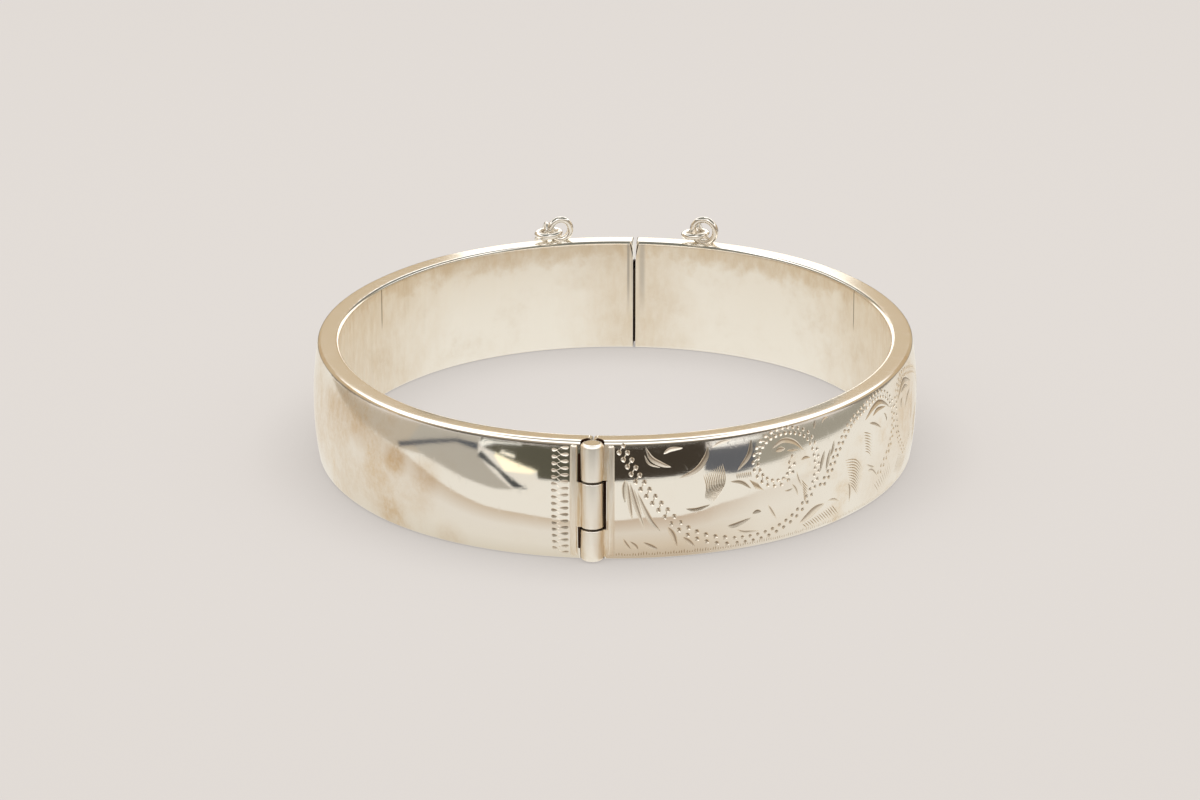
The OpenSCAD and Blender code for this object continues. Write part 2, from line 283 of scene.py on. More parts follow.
def feed(tree, value, socket):
    if isinstance(value, (int, float)):
        socket.default_value = value
    elif isinstance(value, tuple):
        socket.default_value = (*value, 1)
    else:
        tree.links.new(value, socket)


def blend(tree, factor, first, second):  # from the first colour to the second
    made = node(tree, "Mix", {"data_type": "RGBA"})
    for place, value in ((0, factor), (6, first), (7, second)):
        feed(tree, value, made.inputs[place])
    return made.outputs[2]


def sums(tree, how, first, second):
    made = node(tree, "Math", {"operation": how})
    feed(tree, first, made.inputs[0])
    feed(tree, second, made.inputs[1])
    return made.outputs[0]


def times(tree, total, *factors):
    for factor in factors:
        total = sums(tree, "MULTIPLY", total, factor)
    return total


def aside(tree):  # millimetres to either side of the middle
    return sums(tree, "ABSOLUTE", coordinate(tree, "X"), 0)


def nearSpots(tree, vector, spots):
    total = 0.0
    for spot, reach, strength in spots:
        away = node(tree, "VectorMath", {"operation": "DISTANCE"})
        tree.links.new(vector, away.inputs[0])
        away.inputs[1].default_value = spot
        total = sums(tree, "ADD", between(tree, away.outputs["Value"], *reach, strength, 0), total)
    return total


def tarnishPatches(tree, given):  # soft patches, with a fine mottle in them, and more of it out at the sides
    sides = times(tree, between(tree, aside(tree), *wearAndShade["tarnish"]), given["Sides"])
    amount = sums(tree, "ADD", given["Amount"], sides)
    return [times(tree, pattern(tree, "patches"), pattern(tree, "mottle"), amount)]


def hairlines(tree, given):  # fine polishing lines round the bangle, and a few stray scratches
    scratches = pattern(tree, "scratches")
    height = sums(tree, "SUBTRACT", pattern(tree, "polishing"), times(tree, scratches, wearAndShade["scratchDepth"]))
    return [times(tree, height, given["Strength"]), scratches]


def brushMarks(tree, given):  # up-and-down marks left by finishing the inside
    return [times(tree, pattern(tree, "fineBrush"), given["Strength"]), pattern(tree, "broadBrush")]


def stainSpots(tree, given):
    spots = [(spot, (wearAndShade["stainCore"] * reach, reach), strength) for spot, reach, strength in stains]
    return [times(tree, nearSpots(tree, mapped(tree), spots), pattern(tree, "speckle"), given["Amount"])]


def barrelSideShadeStreaks(tree, given):  # painted shade on the barrel's sides and in the creases beside it, in up-and-down streaks
    near, far = [between(tree, aside(tree), *limits) for limits in wearAndShade["barrelSideShade"]]
    return [times(tree, near, far, pattern(tree, "streaks"), given["Amount"])]


def tongueSlitShade(tree, given):  # painted shade: the tongue is made near black where it stands in the slit
    return [times(tree, between(tree, aside(tree), *wearAndShade["root"]), given["Amount"])]


def liningMarks(tree, given):
    uneven = times(tree, sums(tree, "SUBTRACT", pattern(tree, "uneven"), 0.5), lining["uneven"])
    high = sums(tree, "ADD", coordinate(tree, "Z"), uneven)
    wide = sums(tree, "ADD", aside(tree), uneven)
    total = 0.0
    for value, limits in ((high, lining["top"]), (wide, lining["sides"]), (wide, lining["slit"])):
        total = sums(tree, "MAXIMUM", total, between(tree, value, *limits))
    marks = [times(tree, total, pattern(tree, "liningGrain"), given["Amount"])]
    for spots, heights in (lining["seams"], lining["capSeamsAndShade"]):
        shown = between(tree, coordinate(tree, "Z"), *heights)
        marks.append(times(tree, nearSpots(tree, mapped(tree, (1, 1, 0)), spots), shown))
    return marks


effects = {
    "tarnish": (tarnishPatches, {"Amount": 0.5, "Sides": 0.5}, ["Mask"]),
    "hairlines": (hairlines, {"Strength": 0.1}, ["Height", "Lines"]),
    "brush": (brushMarks, {"Strength": 0.1}, ["Height", "Marks"]),
    "stains": (stainSpots, {"Amount": 1.0}, ["Mask"]),
    "liningDarker": (liningMarks, {"Amount": 1.0}, ["Mask", "Seam", "CapSeamsAndShade"]),
    "barrelSideShade": (barrelSideShadeStreaks, {"Amount": 1.0}, ["Mask"]),
    "root": (tongueSlitShade, {"Amount": 1.0}, ["Mask"]),
}
groups = {}


def makeGroup(name):
    fill, inputs, outputs = effects[name]
    tree = bpy.data.node_groups.new(name, "ShaderNodeTree")
    for label, value in inputs.items():
        socket = tree.interface.new_socket(label, in_out="INPUT", socket_type="NodeSocketFloat")
        socket.default_value = value
    for label in outputs:
        tree.interface.new_socket(label, in_out="OUTPUT", socket_type="NodeSocketFloat")
    given = tree.nodes.new("NodeGroupInput")
    out = tree.nodes.new("NodeGroupOutput")
    for value, socket in zip(fill(tree, given.outputs), out.inputs):
        tree.links.new(value, socket)
    return tree


for name in effects:
    groups[name] = makeGroup(name)
print("Effects made:", ", ".join(groups))


def effect(tree, name, **values):
    made = tree.nodes.new("ShaderNodeGroup")
    made.node_tree = groups[name]
    for label, value in values.items():
        made.inputs[label].default_value = value
    return made.outputs


# stainAndShade names a mask that darkens the colour: the faces' stains, the lining's darker parts, and the
# painted shade beside the hinge barrel and on the tongue in the slit each have one
def metal(name, tone, rough, sides=0.0, tarnish=(0.2, 0.3), shade="tarnish", bump=0.05, marks="hairlines",
          grooves=0.0, stainAndShade=None):
    made = bpy.data.materials.new(name)
    made.use_nodes = True
    tree = made.node_tree
    shader = tree.nodes["Principled BSDF"]
    shader.inputs["Metallic"].default_value = 1
    worn = effect(tree, "tarnish", Amount=tarnish[0], Sides=tarnish[1])["Mask"]
    colour = blend(tree, worn, silverTones[tone], silverTones[shade])
    if stainAndShade:  # the lining's darkening comes with its seams, and with cap lines that are partly painted shade
        for mask, shown in zip(effect(tree, stainAndShade, Amount=1.0), (stainAndShade, "groove", "capSeamAndShade")):
            colour = blend(tree, mask, colour, silverTones[shown])
    if grooves:  # dark at the bottom of a cut
        groove = node(tree, "Attribute", {"attribute_name": "groove"}).outputs["Fac"]
        dark = between(tree, groove, wearAndShade["grooveFrom"], 1.0, 0.0, grooves)
        colour = blend(tree, dark, colour, silverTones["groove"])
    tree.links.new(colour, shader.inputs["Base Color"])
    lines = effect(tree, marks, Strength=1.0)
    dulled = between(tree, aside(tree), *wearAndShade["rougher"], rough, rough + sides)
    dulled = sums(tree, "ADD", dulled, times(tree, worn, wearAndShade["wornRough"]))
    dulled = sums(tree, "ADD", dulled, times(tree, lines[1], wearAndShade["linesRough"]))
    tree.links.new(dulled, shader.inputs["Roughness"])
    raised = node(tree, "Bump", Strength=bump, Distance=wearAndShade["bumpHeight"])
    tree.links.new(lines["Height"], raised.inputs["Height"])
    tree.links.new(raised.outputs["Normal"], shader.inputs["Normal"])
    return made


silver = metal("polished_silver", "polished", rough=0.06, sides=0.03, tarnish=(0.1, 0.75), stainAndShade="stains")
cutSilver = metal("cut_silver", "cut", rough=0.26, sides=0.05, tarnish=(0.5, 0.2), shade="shade", grooves=0.7)
rimSilver = metal("rim_silver", "rim", rough=0.12, sides=0.07, tarnish=(0.3, 0.0), shade="shade", bump=0.1)
liningSilver = metal("lining_silver", "lining", rough=0.36, tarnish=(0.3, 0.2), shade="shade", bump=0.4,
                     marks="brush", stainAndShade="liningDarker")
# painted shade for the gaps and hollows
gapShadeSilver = metal("gap_shade_silver", "gapShade", rough=0.5)
hingeSilver = metal("hinge_silver", "hinge", rough=0.36, tarnish=(0.5, 0.0), bump=0.35, marks="brush",
                    stainAndShade="barrelSideShade")
wireSilver = metal("wire_silver", "wire", rough=0.13, tarnish=(0.4, 0.0), shade="shade", bump=0.1)
tongueSilver = metal("tongue_silver", "tongue", rough=0.35, tarnish=(0.6, 0.0), shade="shade", bump=0.2,
                     marks="brush", stainAndShade="root")
bodyMetals = [silver, cutSilver, rimSilver, liningSilver, gapShadeSilver, hingeSilver]


def paint(piece, *made):
    piece.data.materials.clear()
    for material in made:
        piece.data.materials.append(material)


def fresh(name, scale=(1, 1, 1)):  # names what was just added, and puts its place and size into its mesh
    made = bpy.context.object
    made.name = name
    made.scale = scale
    bpy.ops.object.transform_apply(location=True, rotation=True, scale=True)
    return made


def putIn(name, data):  # a new object with this data, in the scene
    made = bpy.data.objects.new(name, data)
    bpy.context.collection.objects.link(made)
    return made


def pick(piece, wanted, kind="VERT"):  # selects what wanted() is true for, in edit mode
    bpy.ops.mesh.select_mode(type=kind)
    bpy.ops.mesh.select_all(action="DESELECT")
    shape = bmesh.from_edit_mesh(piece.data)
    for part in {"VERT": shape.verts, "EDGE": shape.edges}[kind]:
        if wanted(part):
            part.select = True
    shape.select_flush_mode()
    bmesh.update_edit_mesh(piece.data)


def closeEdit():  # turns all faces outwards, and leaves edit mode
    bpy.ops.mesh.select_all(action="SELECT")
    bpy.ops.mesh.normals_make_consistent(inside=False)
    bpy.ops.object.mode_set(mode="OBJECT")


def applyAll(piece):
    useOnly(piece)
    for modifier in list(piece.modifiers):
        bpy.ops.object.modifier_apply(modifier=modifier.name)


def carve(piece, tool, how="DIFFERENCE", finish=None):  # cuts with the tool, or welds it on with UNION
    if finish:
        paint(tool, finish)
    modifier = piece.modifiers.new(tool.name, "BOOLEAN")
    modifier.operation = how
    modifier.solver = "MANIFOLD"
    modifier.material_mode = "TRANSFER"
    modifier.object = tool
    applyAll(piece)
    bpy.data.objects.remove(tool)


def block(name, low, high):
    bpy.ops.mesh.primitive_cube_add(size=1, location=[(a + b) / 2 for a, b in zip(low, high)])
    return fresh(name, [b - a for a, b in zip(low, high)])


def rod(name, radius, low, high):  # upright, on the hinge's axis
    bpy.ops.mesh.primitive_cylinder_add(vertices=hingeSizes["barrelSides"], radius=radius, depth=high - low,
                                        location=(0, hingeSizes["axisY"], (low + high) / 2))
    return fresh(name)


def bar(name, outline, start, end):  # an outline in x and z, drawn out along y
    bpy.ops.mesh.primitive_circle_add(vertices=len(outline), fill_type="NGON")
    made = fresh(name)
    for vertex, (x, z) in zip(made.data.vertices, outline):
        vertex.co = (x, start, z)
    bpy.ops.object.mode_set(mode="EDIT")
    bpy.ops.mesh.select_all(action="SELECT")
    bpy.ops.mesh.extrude_region_move(TRANSFORM_OT_translate={"value": (0, end - start, 0)})
    closeEdit()
    return made


def upTo(gap, low=under, high=over):  # the outline of a flat cut from past the middle up to the gap
    return [(-spare, low), (gap, low), (gap, high), (-spare, high)]


def arcPoints(centreX, centreZ, radius, start, end, steps=8):
    turns = [math.radians(start + (end - start) * k / steps) for k in range(steps + 1)]
    return [(centreX + radius * math.cos(t), centreZ + radius * math.sin(t)) for t in turns]


def sweptBody(name):  # the right half's section, rounded and spun round the three arcs
    high, rim = oval["bandHeight"], oval["rimWidth"]
    liningY = -oval["innerLength"] / 2
    outerY, rimY = liningY - rim, liningY - rim / 2
    bpy.ops.mesh.primitive_plane_add(size=1, rotation=(0, math.pi / 2, 0), location=(0, rimY, midHeight))
    body = fresh(name, (high, rim, 1))
    bpy.ops.object.mode_set(mode="EDIT")
    pick(body, lambda edge: all(abs(v.co.y - outerY) < tiny for v in edge.verts), "EDGE")
    bpy.ops.mesh.subdivide(number_cuts=oval["domeSteps"] - 1)
    shape = bmesh.from_edit_mesh(body.data)
    for vertex in shape.verts:
        if abs(vertex.co.y - outerY) < tiny:
            vertex.co.y = liningY - domeReach(vertex.co.z)
    bmesh.update_edit_mesh(body.data)
    for side, radius in ((-1, oval["outerRound"]), (1, oval["innerRound"])):
        pick(body, lambda v: abs(v.co.z - midHeight) > midHeight - tiny and side * (v.co.y - rimY) > rim / 3)
        bpy.ops.mesh.bevel(offset=radius, offset_type="OFFSET", segments=oval["roundSteps"],
                           affect="VERTICES")
    pick(body, lambda edge: all(abs(v.co.z - midHeight) > midHeight - tiny for v in edge.verts), "EDGE")
    bpy.ops.mesh.subdivide(number_cuts=oval["rimSteps"])
    shape = bmesh.from_edit_mesh(body.data)
    acrossPower, upPower = oval["crownPowers"]
    for vertex in shape.verts:
        across = 2 * (vertex.co.y - rimY) / rim
        share = (vertex.co.z - midHeight) / midHeight
        worn = oval["rimCrown"][across > 0] * across ** acrossPower
        vertex.co.z -= worn * math.copysign(share ** upPower, share)
    bmesh.update_edit_mesh(body.data)
    bpy.ops.mesh.select_all(action="SELECT")
    spins = (
        (oval["endSteps"], endTurn, (0, -endCentre, 0)),
        (oval["sideSteps"], 2 * jointTurn, (-sideCentre, 0, 0)),
        (oval["endSteps"], endTurn, (0, endCentre, 0)),
    )
    for steps, turn, centre in spins:  # spin turns clockwise, so the angle is given as negative
        bpy.ops.mesh.spin(steps=steps, angle=-turn, center=centre, axis=(0, 0, 1))
    bpy.ops.mesh.select_all(action="SELECT")
    bpy.ops.mesh.remove_doubles(threshold=tiny)
    closeEdit()
    paint(body, *bodyMetals)
    for face in body.data.polygons:
        if abs(face.normal.z) > oval["rimFacing"]:
            face.material_index = bodyMetals.index(rimSilver)
        elif face.normal.xy.dot(face.center.xy) < 0 and abs(face.normal.z) < oval["wallFacing"]:
            face.material_index = bodyMetals.index(liningSilver)
    return body


def layOnFace(piece):  # cuts the piece across and bends it to the face: its y is the height above it
    bpy.ops.object.mode_set(mode="EDIT")
    pick(piece, lambda edge: abs(edge.verts[0].co.z - edge.verts[1].co.z) > hingeSizes["longEdge"], "EDGE")
    bpy.ops.mesh.subdivide(number_cuts=hingeSizes["bendCuts"])
    bpy.ops.object.mode_set(mode="OBJECT")
    for vertex in piece.data.vertices:
        x, y, z = vertex.co
        vertex.co = onFace(x, z, y)
    piece.data.flip_normals()  # the bend turns the piece inside out


def stripOn(body):  # a rounded bar, made flat and then laid on the face beside the barrel
    size = hingeSizes
    start, low = size["pocket"], size["stripInset"]
    strip = block("strip", (start, -size["stripDepth"], low),
                  (start + size["stripWidth"], size["stripRise"], oval["bandHeight"] - low))
    edge = strip.modifiers.new("edge", "BEVEL")
    edge.width = size["stripRound"]
    edge.segments = size["roundSteps"]
    edge.limit_method = "ANGLE"
    edge.angle_limit = math.radians(size["stripSharp"])
    applyAll(strip)
    layOnFace(strip)
    carve(body, strip, "UNION", hingeSilver)


def knuckleOn(body, low, high):
    size = hingeSizes
    behind, ahead = size["webReach"][1], size["webReach"][0]
    web = block("web", (size["backGap"], -behind, max(low, size["webInset"])),
                (size["pocket"] + ahead, size["webRise"], min(high, oval["bandHeight"] - size["webInset"])))
    layOnFace(web)
    carve(body, web, "UNION", hingeSilver)
    knuckle = rod("knuckle", size["barrel"] / 2, low, high)
    bpy.ops.object.mode_set(mode="EDIT")
    for z in (low, high):
        width = size["endEdge"] if z in (knuckles["bottom"][0], knuckles["top"][1]) else size["edge"]
        pick(knuckle, lambda edge: all(abs(v.co.z - z) < tiny for v in edge.verts), "EDGE")
        bpy.ops.mesh.bevel(offset=width, offset_type="OFFSET", segments=size["roundSteps"])
    bpy.ops.object.mode_set(mode="OBJECT")
    carve(body, knuckle, "UNION", hingeSilver)


def roomFor(body, low, high):
    size = hingeSizes
    # the room round the barrel gets painted shade on its walls
    carve(body, rod("room", size["seat"], low, high), finish=gapShadeSilver)
    carve(body, block("roomOutside", (-spare, size["axisY"] - size["pocket"] - spare, low),
                      (size["pocket"], size["axisY"], high)), finish=gapShadeSilver)


def pinHoles(body):
    size = hingeSizes
    # the bore gets painted shade
    carve(body, rod("bore", size["pinBore"], under, over), finish=gapShadeSilver)
    carve(body, rod("lowPeen", size["peenBore"], under, knuckles["bottom"][0] + size["peenDepth"]))
    carve(body, rod("highPeen", size["peenBore"], knuckles["top"][1] - size["peenDepth"], over))


def claspEnd(body):
    size, top = claspSizes, oval["bandHeight"]
    slit, footRound = size["slit"], size["foot"]
    low = top - size["veeDepth"]
    rim = size["vee"] + size["lip"]
    slope = math.degrees(math.atan2(size["veeDepth"], size["vee"] - slit))
    lip = arcPoints(rim, top - size["lip"], size["lip"], slope + 90, 90)
    foot = arcPoints(slit + footRound, footRound, footRound, -90, -180, steps=4)
    inner = oval["innerLength"] / 2
    # the slit gets painted shade
    for gap, depth in ((slit, inner + size["slitDepth"]), (size["skinGap"][body.name], back[1])):
        carve(body, bar("slit", upTo(gap), back[0], depth), finish=gapShadeSilver)
    height = size["veeDepth"] * size["flareOver"]
    bpy.ops.mesh.primitive_cone_add(vertices=64, radius1=0, radius2=size["flare"] * size["flareOver"],
                                    depth=height, location=(0, inner, low + height / 2))
    carve(body, fresh("flare"), finish=silver)
    vee = [(-spare, low), (slit, low)] + lip + [(rim, top + spare), (-spare, top + spare)]
    footCut = [(-spare, under), (foot[0][0], under)] + foot + [(-spare, footRound)]
    carve(body, bar("vee", vee, *back), finish=silver)
    # the ledge where the vee ends gets painted shade
    carve(body, bar("shadow", upTo(slit, low - size["shadow"], low + tiny), *back), finish=gapShadeSilver)
    carve(body, bar("foot", footCut, *back), finish=silver)


def hingeEnd(body):
    top = oval["bandHeight"]
    wide, deep, flat = hingeSizes["nick"]
    radius, start, end = hingeSizes["nickRound"]
    # the gap behind the hinge gets painted shade
    carve(body, bar("backGap", upTo(hingeSizes["backGap"]), *front), finish=gapShadeSilver)
    outline = [(-spare, top - deep), (flat, top - deep)]
    outline += arcPoints(wide, top - radius, radius, start, end, steps=5)
    outline += [(wide, top + spare), (-spare, top + spare)]
    carve(body, bar("nick", outline, *front), finish=rimSilver)


def tongueSlot(body):  # the slot bends round the hinge's axis, as the tongue does
    size = claspSizes
    bpy.ops.mesh.primitive_plane_add(size=1, rotation=(0, math.pi / 2, 0), location=(
        -size["slotStart"], hingeSizes["axisY"] + size["slotRadius"], midHeight))
    slot = fresh("slot", (size["slotHigh"], size["slotWide"], 1))
    bpy.ops.object.mode_set(mode="EDIT")
    bpy.ops.mesh.select_all(action="SELECT")
    bpy.ops.mesh.spin(steps=8, angle=(size["slotReach"] + size["slotStart"]) / size["slotRadius"],
                      center=(0, hingeSizes["axisY"], 0), axis=(0, 0, 1))
    closeEdit()
    # the slot gets painted shade
    carve(body, slot, finish=gapShadeSilver)


def eyeletOn(body):
    distance, radius, lift = eyelets[body.name]
    around, across = eyelets["steps"]
    middle = endRadius + oval["rimWidth"] / 2 + eyelets["outward"]
    turn = math.asin(distance / middle)
    spot = Vector((middle * math.sin(turn), endCentre + middle * math.cos(turn), oval["bandHeight"] + lift))
    bpy.ops.mesh.primitive_torus_add(major_radius=radius, minor_radius=eyelets["wire"],
                                     major_segments=around, minor_segments=across, location=spot,
                                     rotation=(math.pi / 2, 0, -turn))
    carve(body, fresh("eyelet"), "UNION", wireSilver)


def shapedHalf(name, rooms, ownKnuckles, slot):
    body = sweptBody(name)
    hingeEnd(body)
    for low, high in rooms:
        roomFor(body, low, high)
    stripOn(body)
    for place in ownKnuckles:
        knuckleOn(body, *knuckles[place])
    claspEnd(body)
    if slot:
        tongueSlot(body)
    eyeletOn(body)
    pinHoles(body)
    print(name, "is shaped")
    return body


engraving = {
    "depthShare": 0.2,  # depth of a cut as a share of its width
    "deepest": 0.12,
    "taper": 0.8,  # below 1 a cut keeps its width for longer
    "tip": 0.01,  # how far the tool stands above the face at its ends
    "rise": (0.02, 0.3),  # and between them: at least, and as a share of the depth
    "dotPitch": (1.05, 0.028),  # at the lower rim, and less for each millimetre up
    "dotSpread": 0.32,  # distance of the dots from their line
    "dotLength": 0.58,
    "dotWidth": 0.48,
    "dotsShrink": (13.0, 0.8),  # past this the dots are finer and closer by this share
    "dotDepth": 0.14,
    "dotTurn": -16,  # degrees
    "dotShift": 0.18,  # along the line, one of a pair to each side
    "dotEnd": 0.1,  # none nearer to the end of a line
    "join": 0.11,
    "joinBow": 0.06,
    "joinAbove": 4.2,  # lower down the pairs stand apart
    "hatchWidth": 0.13,
    "tickWidth": 0.15,
    "tickPitch": 0.25,
    "tickHigh": (0.3, 0.78),
    "tickEnd": 2.2,  # none nearer to the hinge and the clasp
    "tickVary": (-0.16, 0.12),
    "tickLean": 0.05,
    "flipAt": 36.0,  # past this the hidden part repeats what the photo shows, the other way round
    "lean": 0.45,  # how far the bottom of a cut lies to one side
    "apart": (0.1, 0.15),  # how far cuts stay from the lines that they are flipped about
    "cells": 4,  # to a millimetre, for finding cuts that would meet
    "cellSpare": (0.75, 0.05),  # for each of the width, and in millimetres
}
# Lines of dots: points along the face and up it, in millimetres from the hinge and the lower rim
dotLines = {
    "near scroll": [(2.6, 10.7), (3.3, 9.5), (4.4, 7.4), (6.4, 4.8), (8.4, 2.75), (11, 1.5), (14, 1.0),
                    (17, 1.2), (19.5, 2.2), (21.3, 3.9), (22.2, 6.0), (22.0, 8.3), (20.9, 10.0),
                    (18.6, 10.75),
                    (16.4, 10.3), (15.3, 8.8), (15.6, 7.1), (16.9, 6.1), (18.4, 6.1), (19.2, 7.2),
                    (18.9, 8.4)],
    "far scroll": [(23.0, 4.6), (24.0, 5.7), (25.0, 7.2), (26.1, 8.4), (27.4, 9.4), (29.5, 10.1), (32, 10.6),
                   (34, 10.3), (35.4, 9), (35.6, 7.2), (35, 5.4), (33.8, 4.0), (32.6, 2.9)],
}
# Single strokes: the width of each and the points that it runs through
strokes = {
    "fan": [
        (0.42, (3.0, 7.9), (2.85, 7), (2.95, 5.6)), (0.42, (3.1, 7.9), (3.3, 6), (3.6, 3.8)),
        (0.46, (3.35, 7.7), (3.85, 5.6), (4.8, 2.8)), (0.2, (3.7, 7.1), (4.05, 5.9), (4.5, 4.3)),
        (0.5, (4.0, 6.8), (4.7, 5.0), (5.3, 3.8), (6.2, 2.7)),
    ],
    "crescents": [
        (0.5, (4.75, 10.9), (5.3, 9.8), (6.2, 9.2), (7.15, 8.85)), (0.2, (4.65, 10.2), (5.1, 9.3),
                                                                    (6.2, 8.85)),
        (0.42, (6.4, 10.1), (7.1, 10.5), (8.3, 10.55)),
        (0.55, (10.6, 10.6), (10.35, 9.5), (9.4, 8.4), (7.7, 7.75)), (0.3, (10.9, 10.3), (11.8, 10.7),
                                                                      (13, 10.8)),
        (0.5, (14.9, 10.7), (14.6, 9.2), (13.3, 7.8)), (0.36, (8.4, 4.8), (9.4, 4.65), (10.8, 5.0)),
        (0.36, (12.6, 6.95), (13.8, 6.7), (14.8, 5.9)), (0.5, (17.0, 9.3), (18.2, 9.85), (19.5, 9.5),
                                                         (20.7, 8.4)),
        (0.24, (18.6, 8.85), (19.3, 8.75), (20.0, 8.65)), (0.5, (17.4, 9.0), (17.9, 9.1), (18.5, 9.05)),
        (0.3, (20.2, 7.6), (20.8, 7.75), (21.4, 7.6)), (0.34, (22.35, 11.0), (22.2, 10.6), (22.05, 10.1)),
        (0.26, (23.1, 10.4), (23.5, 10.8), (24.1, 10.8)),
    ],
    "middle leaves": [
        (0.5, (12.4, 2.6), (13.3, 2.6), (14.9, 3.1)), (0.28, (13.3, 2.15), (14.2, 1.75), (15.9, 1.6)),
        (0.4, (14.9, 3.45), (15.4, 3.6), (15.9, 3.5)), (0.34, (16.5, 4.1), (17.0, 3.3), (17.6, 2.4)),
        (0.2, (18.3, 5.05), (18.8, 5.0), (19.3, 5.1)), (0.32, (19.1, 5.6), (19.6, 5.0), (19.95, 4.2)),
        (0.28, (19.7, 6.7), (19.9, 5.9), (20.4, 5.0)),
        (0.42, (23.3, 7.9), (22.9, 6.9), (22.6, 5.9)), (0.42, (24.1, 7.9), (23.7, 6.8), (23.4, 5.8)),
        (0.36, (24.65, 8.5), (24.4, 7.7), (24.0, 7.0)),
    ],
    "big leaf": [
        (0.85, (20.3, 1.3), (21.4, 1.85), (22.4, 2.35), (23.5, 2.55)), (0.28, (23.8, 2.75), (24.8, 2.6),
                                                                        (25.6, 2.2)),
    ],
    "far leaves": [
        (0.42, (26.8, 3.7), (27.2, 2.9), (27.3, 1.5)), (0.55, (29.6, 8.9), (31.5, 9.75), (33.2, 9.8),
                                                        (35.1, 8.6)),
        (0.4, (31.1, 8.95), (32.3, 9.3), (34.0, 9.1)), (0.34, (30.4, 8.5), (31.6, 8.1), (32.9, 7.3)),
        (0.3, (29.7, 4.7), (30.8, 4.1), (31.5, 3.9)), (0.36, (30.1, 3.9), (31.2, 3.6), (32.6, 2.4)),
        (0.34, (33.4, 8.6), (33.9, 8.2), (34.0, 7.6)),
    ],
    "lower edge": [
        (0.34, (2.75, 2.2), (3.1, 1.5), (3.6, 0.9)), (0.4, (3.3, 1.9), (3.9, 1.35), (4.15, 0.9)),
        (0.5, (4.5, 1.75), (5.3, 1.25), (6.0, 0.95)), (0.55, (6.75, 3.2), (7.3, 2.3), (7.75, 1.0)),
        (0.48, (8.15, 2.05), (8.8, 1.5), (9.4, 0.95)),
    ],
}
# Fields of fine lines: how many, the first line and the last one, with the others spread between them
hatches = [
    (12, (10.05, 8.0), (10.35, 6.8), (10.2, 5.5), (11.9, 8.9), (12.1, 6.9), (10.9, 5.0)),
    (8, (13.3, 7.65), (13.32, 7.35), (13.35, 7.05), (14.6, 7.65), (14.7, 7.35), (14.75, 7.0)),
    (5, (14.5, 6.9), (14.9, 6.4), (15.3, 5.7), (15.3, 6.5), (15.6, 6.0), (16.1, 5.5)),
    (7, (20.2, 5.8), (20.7, 5.2), (21.2, 4.7), (20.6, 4.0), (20.8, 3.6), (21.0, 3.2)),
    (14, (20.7, 1.2), (21.1, 0.9), (21.5, 0.5), (24.4, 2.2), (25.1, 1.5), (25.9, 0.7)),
    (11, (26.0, 6.1), (28.0, 5.6), (29.4, 4.1), (27.0, 3.5), (27.9, 2.8), (28.7, 1.8)),
    (8, (29.3, 7.9), (30.0, 7.65), (30.8, 7.3), (29.5, 6.0), (30.2, 5.7), (30.8, 5.1)),
    (9, (31.6, 2.2), (32.4, 1.5), (33.2, 0.7), (34.6, 3.6), (35.2, 2.6), (35.9, 1.6)),
]
border = {  # two rows of wedges beside the hinge of the plain half
    "rows": 17,
    "low": 0.65,
    "pitch": 0.63,
    "step": 0.38,  # how far the outer row stands above the inner one
    "inner": (2.06, 2.95),
    "outer": (3.72, 3.1),
    "width": 0.34,
    "join": 0.07,
    "joinReach": 0.15,
    "bow": 0.04,
    "clear": (0.4, 0.6),  # from the lower and the upper rim
}


chance = random.Random(7)


def smoothLine(points, steps):  # a curve through the points, with its stations evenly numbered
    ends = [2 * Vector(points[0]) - Vector(points[1])] + [Vector(p) for p in points]
    ends.append(2 * ends[-1] - ends[-2])
    line = []
    for k in range(1, len(points)):
        a, b, c, d = ends[k - 1:k + 3]
        for n in range(steps):
            t = n / steps
            line.append(0.5 * (2 * b + (c - a) * t + (2 * a - 5 * b + 4 * c - d) * t ** 2
                               + (3 * b - a - 3 * c + d) * t ** 3))
    return line + [Vector(points[-1])]


def alongLine(line, distance):  # the point and direction at a distance along a line
    for a, b in zip(line, line[1:]):
        step = (b - a).length
        if distance <= step:
            return a.lerp(b, distance / step), (b - a).normalized()
        distance -= step
    return None


def addCut(tool, spine, width, lean, peak, deep):  # one V-shaped cut, pointed at both ends
    last = len(spine) - 1
    least, more = engraving["rise"]
    start, finish = [tool.verts.new(onFace(*spine[k], engraving["tip"])) for k in (0, last)]
    rings = []
    for k in range(1, last):
        t = k / last
        t = 0.5 * t / peak if t < peak else 0.5 + 0.5 * (t - peak) / (1 - peak)
        full = math.sin(math.pi * t) ** engraving["taper"]
        along = (spine[k + 1] - spine[k - 1]).normalized()
        across = Vector((-along.y, along.x)) * width / 2 * full
        lift = least + deep * full * more
        spread = 1 + lift / (deep * full)
        ring = []
        for side, height in ((-1, lift), (0, -deep * full), (1, lift)):
            spot = spine[k] + across * (lean + (side - lean) * spread if side else lean)
            ring.append(tool.verts.new(onFace(*spot, height)))
        rings.append(ring)
    for k in range(3):
        n = (k + 1) % 3
        tool.faces.new((start, rings[0][k], rings[0][n]))
        tool.faces.new((finish, rings[-1][n], rings[-1][k]))
        for near, far in zip(rings, rings[1:]):
            tool.faces.new((near[k], far[k], far[n], near[n]))


def plan(points, steps, width, lean=0.0, peak=0.5, deep=0.0, up=False):
    deep = deep or min(width * engraving["depthShare"], engraving["deepest"])
    spine = smoothLine(points, steps)
    if up and spine[-1].x <= spine[0].x:  # the broad side of a cut looks up, and its steep side down
        lean = -lean
    return {"spine": spine, "width": width, "lean": lean, "peak": peak, "deep": deep}


